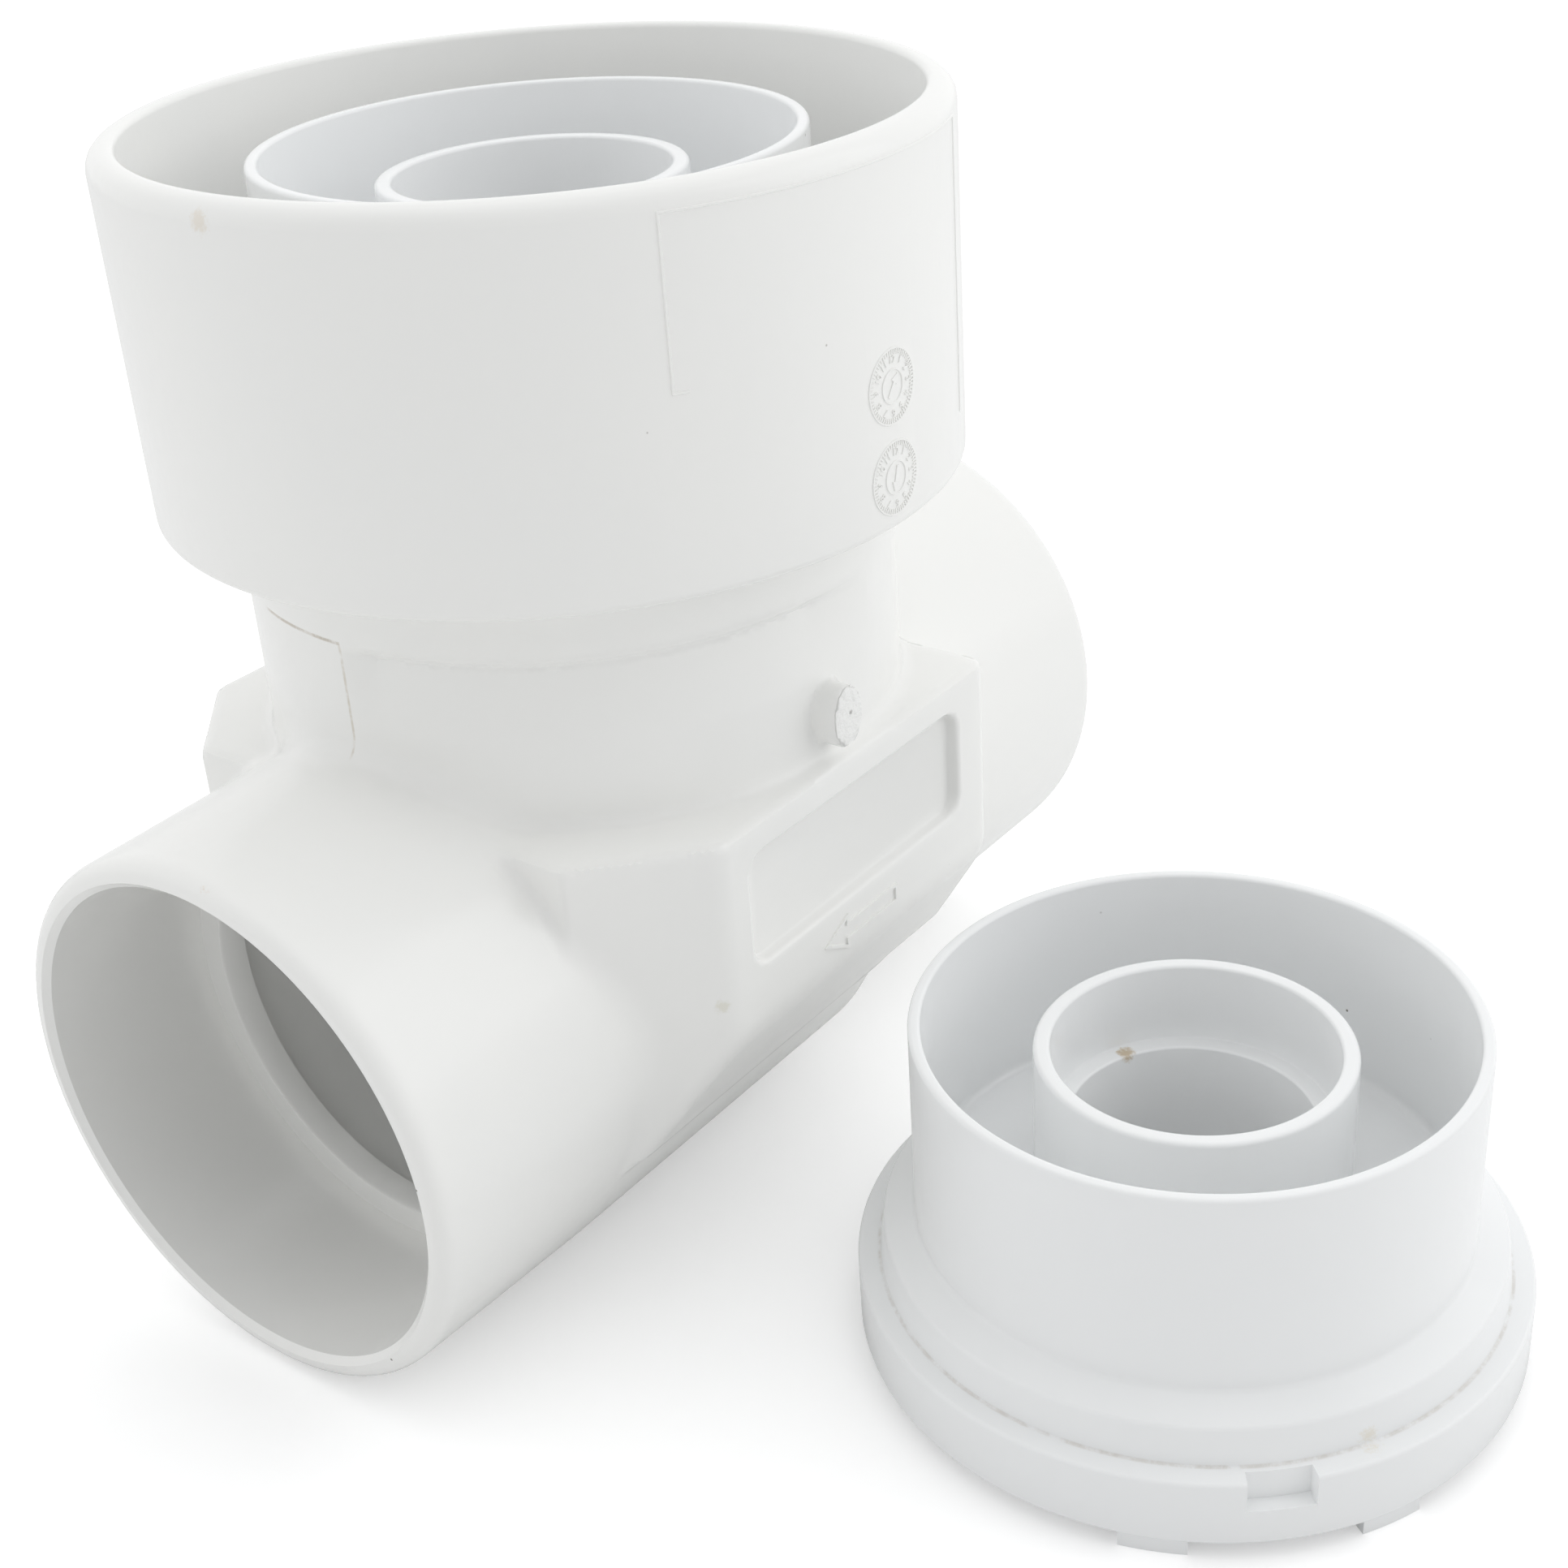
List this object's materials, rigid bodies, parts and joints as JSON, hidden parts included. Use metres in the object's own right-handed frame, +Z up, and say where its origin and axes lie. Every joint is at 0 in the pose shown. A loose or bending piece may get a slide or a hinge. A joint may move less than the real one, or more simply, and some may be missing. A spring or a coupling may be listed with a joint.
{
  "type": "backwater valve",
  "caption": "White moulded drain valve body with a riser hub, a lift-out double-socket cartridge that carries a hinged flapper against backflow, and a second loose coupling beside it.",
  "frame": {"origin": "on the bed that the body lies on, straight under the riser's axis", "axes": "+Z up the riser, +X along the drain towards the inlet, so water leaves towards -X"},
  "size_m": [0.259, 0.3279, 0.2535],
  "materials": {
    "body_pvc": "moulded, satin",
    "coupling_pvc": "moulded, satin",
    "flapper_pvc": "moulded, matt",
    "seal_rubber": "moulded, matt",
    "stainless": "turned, bright"
  },
  "bodies": {
    "body": {"valve_body": "body_pvc"},
    "cartridge": {"cartridge_coupling": "coupling_pvc", "flange_seal": "seal_rubber", "flapper_hanger": "flapper_pvc", "hanger_screws": "stainless", "hinge_pin": "stainless", "pin_clips": "stainless"},
    "flapper": {"flapper_disc": "flapper_pvc", "flapper_seal": "seal_rubber", "seal_retainer": "flapper_pvc", "retainer_screws": "stainless"},
    "spare": {"spare_coupling": "coupling_pvc"}
  },
  "joints": [
    {"name": "cartridge_lift", "type": "slide", "parent": "body", "child": "cartridge", "axis": [0, 0, 1], "range_m": [0, 0.245]},
    {"name": "flapper_swing", "type": "hinge", "parent": "cartridge", "child": "flapper", "pos_m": [0.02734, 0, 0.14336], "axis": [0, 1, 0], "range_deg": [0, 45]},
    {"name": "spare_lift", "type": "slide", "parent": "body", "child": "spare", "axis": [0, 0, 1], "range_m": [0, 0.12]}
  ]
}
